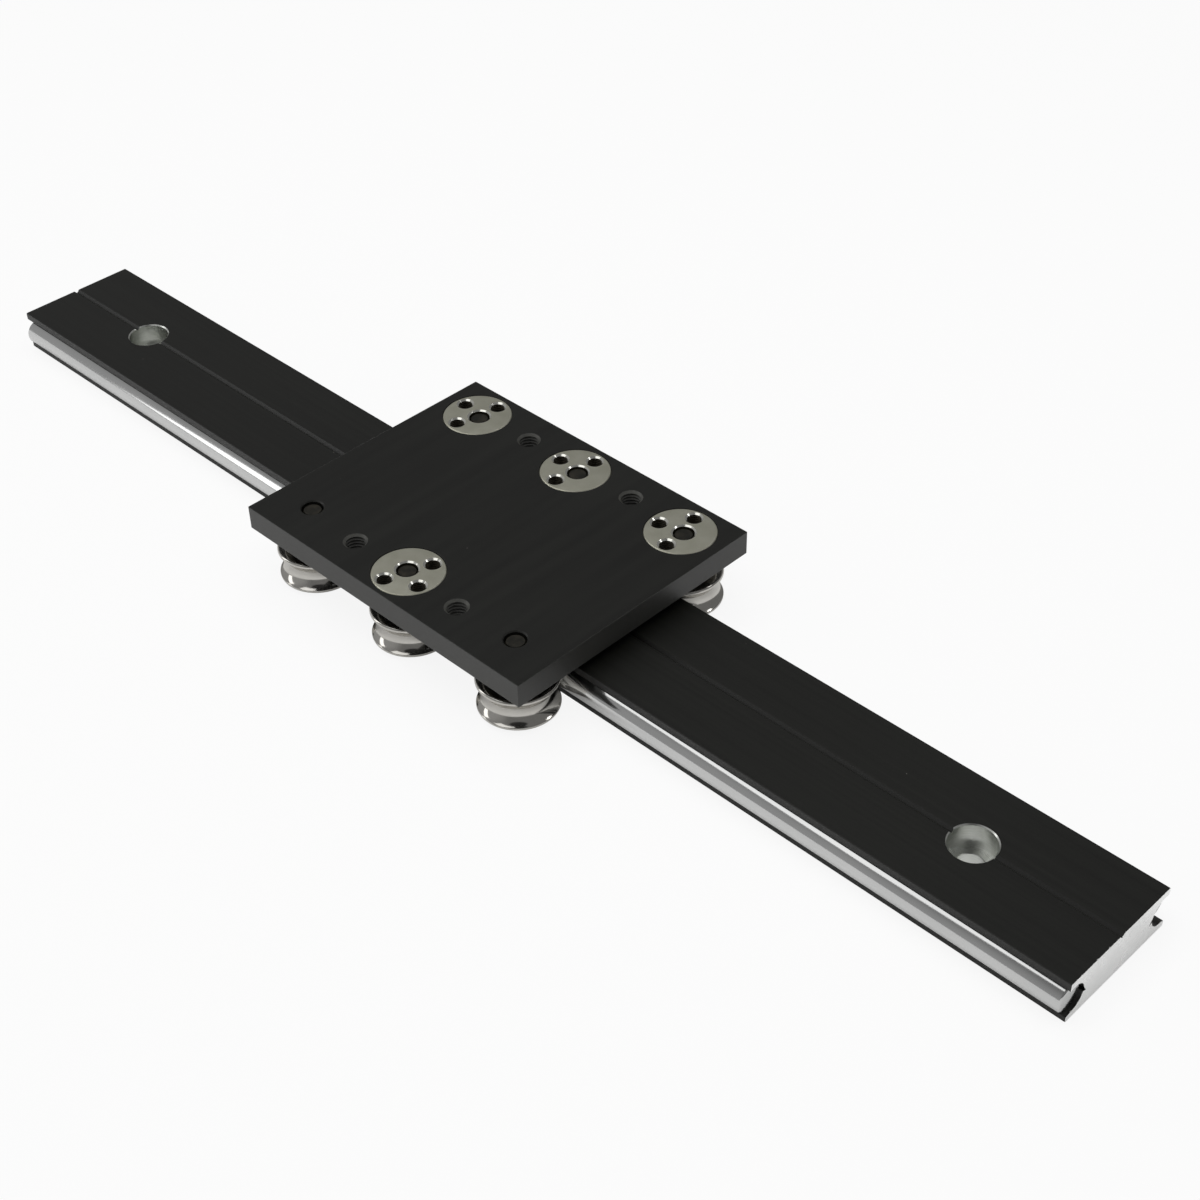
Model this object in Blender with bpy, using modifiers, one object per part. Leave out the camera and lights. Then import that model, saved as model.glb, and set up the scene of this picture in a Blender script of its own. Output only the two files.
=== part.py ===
"""A linear guide: an extruded rail with a round steel shaft in each side, and a carriage plate
that runs along the shafts on six grooved ball-bearing rollers.

Units are metres. The origin is the middle of the rail's bottom face, X runs along the rail,
Y across it (front is -Y, back is +Y), and Z is up.
"""

import math

import bmesh
import bpy
from mathutils import Matrix, Vector

# Rail
RAIL_LENGTH = 0.500
RAIL_WIDTH = 0.048
RAIL_HEIGHT = 0.0155
RAIL_EDGE_BREAK = 0.0002
CENTRE_LINE_WIDTH = 0.0022
CENTRE_LINE_DEPTH = 0.0011
GROOVE_NOTCH_START = 168.0
GROOVE_NOTCH_TIP = 193.0
GROOVE_NOTCH_END = 190.0
GROOVE_NOTCH_DEPTH = 0.0015
LOWER_LIP_TIP = 0.0020

# Mounting holes of the rail: a cap screw drops into each counterbore
MOUNT_HOLE_COUNT = 3
MOUNT_HOLE_PITCH = 0.200
MOUNT_BORE = 0.009
COUNTERBORE = 0.015
COUNTERBORE_DEPTH = 0.009
COUNTERBORE_CHAMFER = 0.0003

# Shafts
SHAFT_DIAMETER = 0.010
SHAFT_PROUD = 0.003
SHAFT_SHORTFALL = 0.004
FRONT_SHAFT_SHIFT = 0.001
BACK_SHAFT_SHIFT = 0.0017
SHAFT_END_CHAMFER = 0.0005

# Carriage plate
PLATE_LENGTH = 0.133
PLATE_WIDTH = 0.1055
PLATE_THICKNESS = 0.009
PLATE_CLEARANCE = 0.004
PLATE_EDGE_BREAK = 0.0003
CARRIAGE_REST = 0.001
TAPPED_PITCH_X = 0.050
TAPPED_PITCH_Y = 0.080
TAPPED_BORE = 0.0068
TAPPED_COUNTERSINK = 0.0013

# Rollers: grooved outer ring, row of caged balls, inner ring and two shields
ROLLER_PITCH = 0.050
ROLLER_DIAMETER = 0.0275
ROLLER_WIDTH = 0.012
ROLLER_EDGE = 0.0005
RING_BORE = 0.0176
SHIELD_REBATE = 0.0008
SHIELD_REBATE_DEPTH = 0.0010
SHIELD_THICKNESS = 0.0005
INNER_RING_DIAMETER = 0.012
INNER_RING_OVERHANG = 0.0003
BALL_DIAMETER = 0.0032
BALL_COUNT = 7
CAGE_WIRE = 0.0010

# Axle screws and the collars that space the rollers from the plate
AXLE_DIAMETER = 0.008
AXLE_THREAD = 0.007
AXLE_HEAD_DIAMETER = 0.013
AXLE_HEAD_HEIGHT = 0.0009
AXLE_END_DEPTH = 0.0009
AXLE_SOCKET = 0.004
AXLE_SOCKET_DEPTH = 0.004
AXLE_CHAMFER = 0.0005
COLLAR_FLANGE = 0.0228
COLLAR_FLANGE_HEIGHT = 0.0026

# Eccentric bushings: a round head let into the plate, with three pin-wrench holes
BUSHING_HEAD = 0.025
BUSHING_HEAD_HEIGHT = 0.005
BUSHING_BARREL = 0.018
BUSHING_RIM_CHAMFER = 0.0003
ECCENTRICITY = 0.0013
PIN_HOLE = 0.005
PIN_HOLE_DEPTH = 0.004
PIN_HOLE_RADIUS = 0.0085
HOLE_COUNTERSINK = 0.0006

# Clearances
SEAT_GAP = 0.0003
RUN_GAP = 0.0003
CUT_OVERRUN = 0.001

# Facets round a full turn
SHAFT_FACETS = 20
ROLLER_FACETS = 20
SMALL_FACETS = 12
BUSHING_FACETS = 20
COUNTERBORE_FACETS = 16
PIN_HOLE_FACETS = 8
HEXAGON = 6

# Steps along the arcs of turned and extruded sections
UPPER_LIP_STEPS = 7
LOWER_LIP_STEPS = 5
ROLLER_GROOVE_STEPS = 5
RACEWAY_STEPS = 3
MERGE_DISTANCE = 0.00001

# Every size below follows from those above
RAIL_SIDE = RAIL_WIDTH / 2
SHAFT_RADIUS = SHAFT_DIAMETER / 2
SHAFT_Y = RAIL_SIDE + SHAFT_PROUD - SHAFT_RADIUS
SHAFT_Z = RAIL_HEIGHT / 2
GROOVE_RADIUS = SHAFT_RADIUS + SEAT_GAP
PLATE_BOTTOM = RAIL_HEIGHT + PLATE_CLEARANCE
PLATE_TOP = PLATE_BOTTOM + PLATE_THICKNESS
ROLLER_RADIUS = ROLLER_DIAMETER / 2
ROLLER_Y = RAIL_SIDE + RUN_GAP + ROLLER_RADIUS
ROLLER_TOP = SHAFT_Z + ROLLER_WIDTH / 2
ROLLER_BOTTOM = SHAFT_Z - ROLLER_WIDTH / 2
ROLLER_GROOVE_RADIUS = SHAFT_RADIUS + RUN_GAP
RING_BORE_RADIUS = RING_BORE / 2
REBATE_RADIUS = RING_BORE_RADIUS + SHIELD_REBATE
INNER_RING_RADIUS = INNER_RING_DIAMETER / 2
INNER_RING_TOP = ROLLER_TOP + INNER_RING_OVERHANG
INNER_RING_BOTTOM = ROLLER_BOTTOM - INNER_RING_OVERHANG
BALL_RADIUS = BALL_DIAMETER / 2
RACEWAY_RADIUS = BALL_RADIUS + RUN_GAP
BALL_PITCH_RADIUS = (RING_BORE_RADIUS + INNER_RING_RADIUS) / 2
AXLE_RADIUS = AXLE_DIAMETER / 2
AXLE_BORE_RADIUS = AXLE_RADIUS + SEAT_GAP
THREAD_RADIUS = AXLE_THREAD / 2
THREAD_BORE_RADIUS = THREAD_RADIUS + SEAT_GAP
AXLE_TOP = PLATE_TOP - AXLE_END_DEPTH
BUSHING_SHOULDER = PLATE_TOP - BUSHING_HEAD_HEIGHT

# Rollers in plan: place along the rail in roller pitches, side of the rail, and for an eccentric
# bushing the angle from +X at which its axle hole stands. The other two axles screw into the plate.
ROLLERS = {
    "front_left": (-1, -1, None),
    "front_middle": (0, -1, 160.0),
    "front_right": (1, -1, None),
    "back_left": (-1, 1, -12.0),
    "back_middle": (0, 1, -8.0),
    "back_right": (1, 1, 10.0),
}


def new_collection(name):
    collection = bpy.data.collections.new(name)
    bpy.context.scene.collection.children.link(collection)
    return collection


def new_material(name, colour, roughness, metallic):
    material = bpy.data.materials.new(name)
    material.use_nodes = True
    shader = material.node_tree.nodes["Principled BSDF"]
    shader.inputs["Base Color"].default_value = (*colour, 1.0)
    shader.inputs["Roughness"].default_value = roughness
    shader.inputs["Metallic"].default_value = metallic
    return material


def add_piece(name, mesh, material, parent=None, place=(0.0, 0.0, 0.0)):
    """A named sub-part of the guide, placed from its parent."""
    piece = bpy.data.objects.new(name, mesh)
    PARTS.objects.link(piece)
    piece.parent = parent
    piece.location = place
    if material.name not in mesh.materials:
        mesh.materials.append(material)
    return piece


def add_empty(name, parent, place):
    """A pivot that stands on the axis of the joint whose pieces it carries."""
    empty = bpy.data.objects.new(name, None)
    PARTS.objects.link(empty)
    empty.parent = parent
    empty.location = place
    return empty


def profile_mesh(name, points, closed):
    """The half section of a turned shape, as radius and height, for a Screw modifier."""
    mesh = bpy.data.meshes.new(name)
    count = len(points)
    edges = [(i, (i + 1) % count) for i in range(count if closed else count - 1)]
    mesh.from_pydata([(radius, 0.0, height) for radius, height in points], edges, [])
    return mesh


def turn(piece, facets):
    """Sweeps a half section once round Z."""
    screw = piece.modifiers.new("turned", "SCREW")
    screw.axis = "Z"
    screw.angle = math.tau
    screw.steps = facets
    screw.render_steps = facets
    screw.use_merge_vertices = True
    screw.merge_threshold = MERGE_DISTANCE
    screw.use_smooth_shade = True


def add_cutter(name, points, facets, parent=None, place=(0.0, 0.0, 0.0)):
    """A turned tool body, kept out of the finished guide. Its section runs from axis to axis."""
    cutter = bpy.data.objects.new(name, profile_mesh(name, points, closed=False))
    CUTTERS.objects.link(cutter)
    cutter.parent = parent
    cutter.location = place
    cutter.hide_render = True
    cutter.display_type = "WIRE"
    turn(cutter, facets)
    return cutter


def cut(piece, cutter):
    boolean = piece.modifiers.new("cut_" + cutter.name, "BOOLEAN")
    boolean.operation = "DIFFERENCE"
    boolean.solver = "EXACT"
    boolean.object = cutter


def hole_section(radius, countersink, top, bottom, both_faces):
    """Section of a drilled hole through a plate, with its mouth countersunk at 45 degrees."""
    mouth = radius + countersink + CUT_OVERRUN
    section = [
        (0.0, top + CUT_OVERRUN),
        (mouth, top + CUT_OVERRUN),
        (radius, top - countersink),
    ]
    if both_faces:
        section += [(radius, bottom + countersink), (mouth, bottom - CUT_OVERRUN)]
    else:
        section += [(radius, bottom - CUT_OVERRUN)]
    return section + [(0.0, bottom - CUT_OVERRUN)]


def arc(centre_x, centre_y, radius, start, end, steps):
    """Points on an arc, both ends included, with angles in degrees."""
    angles = [math.radians(start + (end - start) * i / steps) for i in range(steps + 1)]
    return [(centre_x + radius * math.cos(a), centre_y + radius * math.sin(a)) for a in angles]


def rail_half_outline():
    """Right half of the rail's section as (Y, Z), from the centre line on top down to the bottom.

    The upper lip hooks round the shaft. The lower lip is flat and thins towards its tip, so that
    the shaft can be snapped in. A notch behind the shaft lets the upper lip spring.
    """
    lip_angle = math.degrees(math.acos((RAIL_SIDE - SHAFT_Y) / GROOVE_RADIUS))
    notch_reach = GROOVE_RADIUS + GROOVE_NOTCH_DEPTH
    notch_angle = math.radians(GROOVE_NOTCH_TIP)
    tip = (SHAFT_Y + notch_reach * math.cos(notch_angle), SHAFT_Z + notch_reach * math.sin(notch_angle))
    return [
        (0.0, RAIL_HEIGHT - CENTRE_LINE_DEPTH),
        (CENTRE_LINE_WIDTH / 2, RAIL_HEIGHT),
        (RAIL_SIDE - RAIL_EDGE_BREAK, RAIL_HEIGHT),
        (RAIL_SIDE, RAIL_HEIGHT - RAIL_EDGE_BREAK),
        *arc(SHAFT_Y, SHAFT_Z, GROOVE_RADIUS, lip_angle, GROOVE_NOTCH_START, UPPER_LIP_STEPS),
        tip,
        *arc(SHAFT_Y, SHAFT_Z, GROOVE_RADIUS, GROOVE_NOTCH_END, 270.0, LOWER_LIP_STEPS),
        (RAIL_SIDE, LOWER_LIP_TIP),
        (RAIL_SIDE, RAIL_EDGE_BREAK),
        (RAIL_SIDE - RAIL_EDGE_BREAK, 0.0),
    ]


def extruded_outline(name, outline, length):
    """A flat outline given as (Y, Z), extruded along X about the middle of its length."""
    curve = bpy.data.curves.new(name, "CURVE")
    curve.dimensions = "2D"
    curve.fill_mode = "BOTH"
    curve.extrude = length / 2
    spline = curve.splines.new("POLY")
    spline.points.add(len(outline) - 1)
    for point, (y, z) in zip(spline.points, outline):
        point.co = (y, z, 0.0, 1.0)
    spline.use_cyclic_u = True
    source = bpy.data.objects.new(name + "_outline", curve)
    bpy.context.scene.collection.objects.link(source)
    graph = bpy.context.evaluated_depsgraph_get()
    mesh = bpy.data.meshes.new_from_object(source.evaluated_get(graph))
    bpy.data.objects.remove(source)
    edit = bmesh.new()
    edit.from_mesh(mesh)
    bmesh.ops.remove_doubles(edit, verts=edit.verts, dist=MERGE_DISTANCE)
    along_x = Matrix(((0, 0, 1, 0), (1, 0, 0, 0), (0, 1, 0, 0), (0, 0, 0, 1)))
    bmesh.ops.transform(edit, matrix=along_x, verts=edit.verts)
    bmesh.ops.recalc_face_normals(edit, faces=edit.faces)
    edit.to_mesh(mesh)
    edit.free()
    return mesh


def build_rail():
    right = rail_half_outline()
    left = [(-y, z) for y, z in reversed(right) if y > 0.0]
    extrusion = extruded_outline("rail_extrusion", right + left, RAIL_LENGTH)
    rail = add_piece("rail_extrusion", extrusion, ANODISED)
    mouth = COUNTERBORE / 2 + COUNTERBORE_CHAMFER + CUT_OVERRUN
    floor = RAIL_HEIGHT - COUNTERBORE_DEPTH
    section = [
        (0.0, RAIL_HEIGHT + CUT_OVERRUN),
        (mouth, RAIL_HEIGHT + CUT_OVERRUN),
        (COUNTERBORE / 2, RAIL_HEIGHT - COUNTERBORE_CHAMFER),
        (COUNTERBORE / 2, floor),
        (MOUNT_BORE / 2, floor),
        (MOUNT_BORE / 2, -CUT_OVERRUN),
        (0.0, -CUT_OVERRUN),
    ]
    for i in range(MOUNT_HOLE_COUNT):
        x = (i - (MOUNT_HOLE_COUNT - 1) / 2) * MOUNT_HOLE_PITCH
        cut(rail, add_cutter(f"mount_hole_{i + 1}", section, COUNTERBORE_FACETS, place=(x, 0.0, 0.0)))


def build_shaft(name, side, shift):
    """A ground steel rod, chamfered at both ends, that lies in the groove of the rail's side.

    It is a little shorter than the rail, and a pinch of the lips holds it where it was pushed in.
    """
    half = (RAIL_LENGTH - SHAFT_SHORTFALL) / 2
    section = [
        (0.0, half),
        (SHAFT_RADIUS - SHAFT_END_CHAMFER, half),
        (SHAFT_RADIUS, half - SHAFT_END_CHAMFER),
        (SHAFT_RADIUS, SHAFT_END_CHAMFER - half),
        (SHAFT_RADIUS - SHAFT_END_CHAMFER, -half),
        (0.0, -half),
    ]
    place = (shift, side * SHAFT_Y, SHAFT_Z)
    shaft = add_piece(name, profile_mesh(name, section, closed=False), SHAFT_STEEL, place=place)
    shaft.rotation_euler = (0.0, math.pi / 2, 0.0)
    turn(shaft, SHAFT_FACETS)


def build_plate(carriage, stations):
    """The carriage plate, with a stepped seat for each bushing and a tapped hole for each other axle."""
    edit = bmesh.new()
    bmesh.ops.create_cube(edit, size=1.0)
    size = (PLATE_LENGTH, PLATE_WIDTH, PLATE_THICKNESS)
    bmesh.ops.scale(edit, vec=size, verts=edit.verts)
    middle = (PLATE_BOTTOM + PLATE_TOP) / 2
    bmesh.ops.translate(edit, vec=(0.0, 0.0, middle), verts=edit.verts)
    mesh = bpy.data.meshes.new("carriage_plate")
    edit.to_mesh(mesh)
    edit.free()
    plate = add_piece("carriage_plate", mesh, ANODISED, carriage)
    bevel = plate.modifiers.new("edge_break", "BEVEL")
    bevel.width = PLATE_EDGE_BREAK
    bevel.segments = 1
    bevel.limit_method = "ANGLE"

    head = BUSHING_HEAD / 2 + SEAT_GAP
    barrel = BUSHING_BARREL / 2 + SEAT_GAP
    step = BUSHING_SHOULDER - SEAT_GAP
    seat = [
        (0.0, PLATE_TOP + CUT_OVERRUN),
        (head, PLATE_TOP + CUT_OVERRUN),
        (head, step),
        (barrel, step),
        (barrel, PLATE_BOTTOM - CUT_OVERRUN),
        (0.0, PLATE_BOTTOM - CUT_OVERRUN),
    ]
    axle_hole = hole_section(THREAD_BORE_RADIUS, HOLE_COUNTERSINK, PLATE_TOP, PLATE_BOTTOM, False)
    for name, (axle, pivot) in stations.items():
        if pivot is None:
            cut(plate, add_cutter("axle_hole_" + name, axle_hole, SMALL_FACETS, carriage, axle))
        else:
            cut(plate, add_cutter("seat_" + name, seat, BUSHING_FACETS, carriage, pivot))

    tapped = hole_section(TAPPED_BORE / 2, TAPPED_COUNTERSINK, PLATE_TOP, PLATE_BOTTOM, True)
    corners = [(x, y) for x in (-1, 1) for y in (-1, 1)]
    for i, (x, y) in enumerate(corners, start=1):
        place = (x * TAPPED_PITCH_X / 2, y * TAPPED_PITCH_Y / 2, 0.0)
        cut(plate, add_cutter(f"tapped_hole_{i}", tapped, SMALL_FACETS, carriage, place))


def build_bushing(name, pivot, angle):
    """An eccentric bushing. Turned in its seat, it carries its axle nearer to the rail or away."""
    head = BUSHING_HEAD / 2
    section = [
        (0.0, PLATE_TOP),
        (head - BUSHING_RIM_CHAMFER, PLATE_TOP),
        (head, PLATE_TOP - BUSHING_RIM_CHAMFER),
        (head, BUSHING_SHOULDER),
        (BUSHING_BARREL / 2, BUSHING_SHOULDER),
        (BUSHING_BARREL / 2, PLATE_BOTTOM + SEAT_GAP),
        (0.0, PLATE_BOTTOM + SEAT_GAP),
    ]
    full_name = "eccentric_bushing_" + name
    bushing = add_piece(full_name, profile_mesh(full_name, section, closed=False), NICKEL, pivot)
    turn(bushing, BUSHING_FACETS)
    bore = hole_section(THREAD_BORE_RADIUS, HOLE_COUNTERSINK, PLATE_TOP, PLATE_BOTTOM, False)
    offset = eccentric_offset(angle)
    cut(bushing, add_cutter("axle_bore_" + name, bore, SMALL_FACETS, pivot, (offset.x, offset.y, 0.0)))
    mouth = PIN_HOLE / 2 + HOLE_COUNTERSINK + CUT_OVERRUN
    pin_hole = [
        (0.0, PLATE_TOP + CUT_OVERRUN),
        (mouth, PLATE_TOP + CUT_OVERRUN),
        (PIN_HOLE / 2, PLATE_TOP - HOLE_COUNTERSINK),
        (PIN_HOLE / 2, PLATE_TOP - PIN_HOLE_DEPTH),
        (0.0, PLATE_TOP - PIN_HOLE_DEPTH),
    ]
    for i, quarter in enumerate((90.0, 180.0, 270.0), start=1):
        around = math.radians(angle + quarter)
        place = (PIN_HOLE_RADIUS * math.cos(around), PIN_HOLE_RADIUS * math.sin(around), 0.0)
        cut(bushing, add_cutter(f"pin_hole_{name}_{i}", pin_hole, PIN_HOLE_FACETS, pivot, place))


def raceway_half_angle(wall_distance):
    """Half the arc, in degrees, that a raceway cuts into a wall so far from the balls' centres."""
    return math.degrees(math.acos(wall_distance / RACEWAY_RADIUS))


def outer_ring_section():
    """Section of the outer ring: two chamfered flanges with the shaft's round groove between them,
    and a bore with a rebate for a shield at each end."""
    rim = ROLLER_RADIUS
    groove_axis = ROLLER_Y - SHAFT_Y
    half_angle = math.degrees(math.acos((groove_axis - rim) / ROLLER_GROOVE_RADIUS))
    groove = arc(
        groove_axis, SHAFT_Z, ROLLER_GROOVE_RADIUS,
        180.0 - half_angle, 180.0 + half_angle, ROLLER_GROOVE_STEPS)
    race_angle = raceway_half_angle(RING_BORE_RADIUS - BALL_PITCH_RADIUS)
    raceway = arc(BALL_PITCH_RADIUS, SHAFT_Z, RACEWAY_RADIUS, -race_angle, race_angle, RACEWAY_STEPS)
    return [
        (REBATE_RADIUS, ROLLER_TOP),
        (rim - ROLLER_EDGE, ROLLER_TOP),
        (rim, ROLLER_TOP - ROLLER_EDGE),
        *groove,
        (rim, ROLLER_BOTTOM + ROLLER_EDGE),
        (rim - ROLLER_EDGE, ROLLER_BOTTOM),
        (REBATE_RADIUS, ROLLER_BOTTOM),
        (REBATE_RADIUS, ROLLER_BOTTOM + SHIELD_REBATE_DEPTH),
        (RING_BORE_RADIUS, ROLLER_BOTTOM + SHIELD_REBATE_DEPTH),
        *raceway,
        (RING_BORE_RADIUS, ROLLER_TOP - SHIELD_REBATE_DEPTH),
        (REBATE_RADIUS, ROLLER_TOP - SHIELD_REBATE_DEPTH),
    ]


def inner_ring_section():
    """Section of the inner ring, with the balls' raceway round its outside."""
    race_angle = raceway_half_angle(BALL_PITCH_RADIUS - INNER_RING_RADIUS)
    start = 180.0 - race_angle
    end = 180.0 + race_angle
    return [
        (INNER_RING_RADIUS, INNER_RING_TOP),
        *arc(BALL_PITCH_RADIUS, SHAFT_Z, RACEWAY_RADIUS, start, end, RACEWAY_STEPS),
        (INNER_RING_RADIUS, INNER_RING_BOTTOM),
        (AXLE_BORE_RADIUS, INNER_RING_BOTTOM),
        (AXLE_BORE_RADIUS, INNER_RING_TOP),
    ]


def shield_section(bottom):
    """Section of a flat shield that covers the balls at one end of a roller."""
    inner = INNER_RING_RADIUS + RUN_GAP
    outer = REBATE_RADIUS - SEAT_GAP
    top = bottom + SHIELD_THICKNESS
    return [(outer, top), (outer, bottom), (inner, bottom), (inner, top)]


def collar_section():
    """Section of the collar: a neck that bears on the inner ring and a flange under the plate."""
    top = PLATE_BOTTOM - SEAT_GAP
    flange_bottom = top - COLLAR_FLANGE_HEIGHT
    bottom = INNER_RING_TOP + SEAT_GAP
    return [
        (COLLAR_FLANGE / 2, top),
        (COLLAR_FLANGE / 2, flange_bottom),
        (INNER_RING_RADIUS, flange_bottom),
        (INNER_RING_RADIUS, bottom),
        (AXLE_BORE_RADIUS, bottom),
        (AXLE_BORE_RADIUS, top),
    ]


def axle_section():
    """Section of the axle screw: a thin head below the roller, a shoulder that carries the inner
    ring and the collar, and a threaded end that stops just under the top face."""
    head_top = INNER_RING_BOTTOM - SEAT_GAP
    head_bottom = head_top - AXLE_HEAD_HEIGHT
    shoulder = PLATE_BOTTOM - SEAT_GAP
    return [
        (0.0, AXLE_TOP),
        (THREAD_RADIUS - AXLE_CHAMFER, AXLE_TOP),
        (THREAD_RADIUS, AXLE_TOP - AXLE_CHAMFER),
        (THREAD_RADIUS, shoulder),
        (AXLE_RADIUS, shoulder),
        (AXLE_RADIUS, head_top),
        (AXLE_HEAD_DIAMETER / 2, head_top),
        (AXLE_HEAD_DIAMETER / 2, head_bottom),
        (0.0, head_bottom),
    ]


def ball_cage_mesh():
    """The row of balls and the cage wire that spaces them, as one beaded ring round the axle."""
    curve = bpy.data.curves.new("ball_cage", "CURVE")
    curve.dimensions = "3D"
    curve.fill_mode = "FULL"
    curve.bevel_depth = BALL_RADIUS
    curve.bevel_resolution = 1
    curve.twist_mode = "Z_UP"
    beads = []
    across_ball = math.acos(CAGE_WIRE / BALL_DIAMETER)
    for i in range(BALL_COUNT):
        for share in (-1.0, -0.4, 0.4, 1.0):
            slope = share * across_ball
            around = math.tau * i / BALL_COUNT + math.sin(slope) * BALL_RADIUS / BALL_PITCH_RADIUS
            beads.append((around, math.cos(slope)))
    spline = curve.splines.new("POLY")
    spline.points.add(len(beads) - 1)
    for point, (around, share) in zip(spline.points, beads):
        x = BALL_PITCH_RADIUS * math.cos(around)
        y = BALL_PITCH_RADIUS * math.sin(around)
        point.co = (x, y, SHAFT_Z, 1.0)
        point.radius = share
    spline.use_cyclic_u = True
    source = bpy.data.objects.new("ball_cage_wire", curve)
    bpy.context.scene.collection.objects.link(source)
    graph = bpy.context.evaluated_depsgraph_get()
    mesh = bpy.data.meshes.new_from_object(source.evaluated_get(graph))
    bpy.data.objects.remove(source)
    edit = bmesh.new()
    edit.from_mesh(mesh)
    bmesh.ops.remove_doubles(edit, verts=edit.verts, dist=MERGE_DISTANCE)
    bmesh.ops.recalc_face_normals(edit, faces=edit.faces)
    edit.to_mesh(mesh)
    edit.free()
    mesh.shade_smooth()
    return mesh


def build_roller(name, axle_pivot, cage_mesh):
    """One grooved roller and what carries it, all on the axis of its axle pivot."""
    upper = ROLLER_TOP - SHIELD_REBATE_DEPTH + SEAT_GAP
    lower = ROLLER_BOTTOM + SHIELD_REBATE_DEPTH - SEAT_GAP - SHIELD_THICKNESS
    turned = [
        ("outer_ring", outer_ring_section(), ROLLER_STEEL, ROLLER_FACETS),
        ("upper_shield", shield_section(upper), SHIELD_BLACK, SMALL_FACETS),
        ("lower_shield", shield_section(lower), SHIELD_BLACK, SMALL_FACETS),
        ("inner_ring", inner_ring_section(), ROLLER_STEEL, SMALL_FACETS),
        ("collar", collar_section(), COLLAR_STEEL, SMALL_FACETS),
    ]
    for kind, section, material, facets in turned:
        full_name = f"{kind}_{name}"
        piece = add_piece(full_name, profile_mesh(full_name, section, closed=True), material, axle_pivot)
        turn(piece, facets)
    add_piece("ball_cage_" + name, cage_mesh, ROLLER_STEEL, axle_pivot)

    full_name = "axle_screw_" + name
    axle_profile = profile_mesh(full_name, axle_section(), closed=False)
    axle = add_piece(full_name, axle_profile, BLACK_STEEL, axle_pivot)
    turn(axle, SMALL_FACETS)
    head_bottom = INNER_RING_BOTTOM - SEAT_GAP - AXLE_HEAD_HEIGHT
    corner = AXLE_SOCKET / math.sqrt(3.0)
    socket = [
        (0.0, head_bottom + AXLE_SOCKET_DEPTH),
        (corner, head_bottom + AXLE_SOCKET_DEPTH),
        (corner, head_bottom - CUT_OVERRUN),
        (0.0, head_bottom - CUT_OVERRUN),
    ]
    cut(axle, add_cutter("socket_" + name, socket, HEXAGON, axle_pivot))


def eccentric_offset(angle):
    """From a bushing's own axis to the axle that it carries."""
    turned = math.radians(angle)
    return Vector((ECCENTRICITY * math.cos(turned), ECCENTRICITY * math.sin(turned), 0.0))


def roller_stations():
    """Axle place and bushing place of each roller, from the carriage's middle.

    Every roller stands at the same distance from its shaft, so each bushing's seat is bored where
    its set angle brings the axle to that distance.
    """
    stations = {}
    for name, (step, side, angle) in ROLLERS.items():
        seat = Vector((step * ROLLER_PITCH, side * ROLLER_Y, 0.0))
        if angle is None:
            stations[name] = (seat, None)
            continue
        offset = eccentric_offset(angle)
        pivot = Vector((seat.x, seat.y - offset.y, 0.0))
        stations[name] = (pivot + offset, pivot)
    return stations


def build_carriage():
    carriage = add_empty("carriage_pivot", None, (CARRIAGE_REST, 0.0, 0.0))
    stations = roller_stations()
    build_plate(carriage, stations)
    cage_mesh = ball_cage_mesh()
    for name, (axle, pivot) in stations.items():
        if pivot is None:
            axle_pivot = add_empty("axle_pivot_" + name, carriage, axle)
        else:
            bushing_pivot = add_empty("bushing_pivot_" + name, carriage, pivot)
            build_bushing(name, bushing_pivot, ROLLERS[name][2])
            axle_pivot = add_empty("axle_pivot_" + name, bushing_pivot, axle - pivot)
        build_roller(name, axle_pivot, cage_mesh)


for old in list(bpy.data.objects):
    bpy.data.objects.remove(old, do_unlink=True)

PARTS = new_collection("linear_guide_rail")
CUTTERS = new_collection("cutters")
ANODISED = new_material("black_anodised", (0.017, 0.018, 0.014), 0.42, 0.0)
SHAFT_STEEL = new_material("ground_steel", (0.55, 0.55, 0.56), 0.16, 1.0)
ROLLER_STEEL = new_material("polished_steel", (0.62, 0.60, 0.58), 0.08, 1.0)
COLLAR_STEEL = new_material("turned_steel", (0.50, 0.49, 0.47), 0.3, 1.0)
NICKEL = new_material("nickel_plate", (0.42, 0.42, 0.37), 0.34, 1.0)
BLACK_STEEL = new_material("blackened_steel", (0.045, 0.042, 0.036), 0.5, 0.6)
SHIELD_BLACK = new_material("shield_rubber", (0.02, 0.02, 0.02), 0.6, 0.0)

build_rail()
build_shaft("front_shaft", -1, FRONT_SHAFT_SHIFT)
build_shaft("back_shaft", 1, BACK_SHAFT_SHIFT)
build_carriage()
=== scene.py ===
# %% [markdown]
# A linear guide: a black rail with a ground steel shaft let into each side, and a carriage plate
# that runs along the shafts on six grooved rollers.
#
# The solids of the guide are already packed, with their real sizes and places, so this lesson only
# dresses them. We load them as a frame first. Every new piece takes its place from the box of the
# solid that it stands for, and moves with the body that the solid belongs to. All lengths are
# metres. X runs along the rail, Y across it, and Z is up.

# %% Load the frame
import math

import bmesh
import bpy
from mathutils import Matrix, Quaternion, Vector


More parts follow.
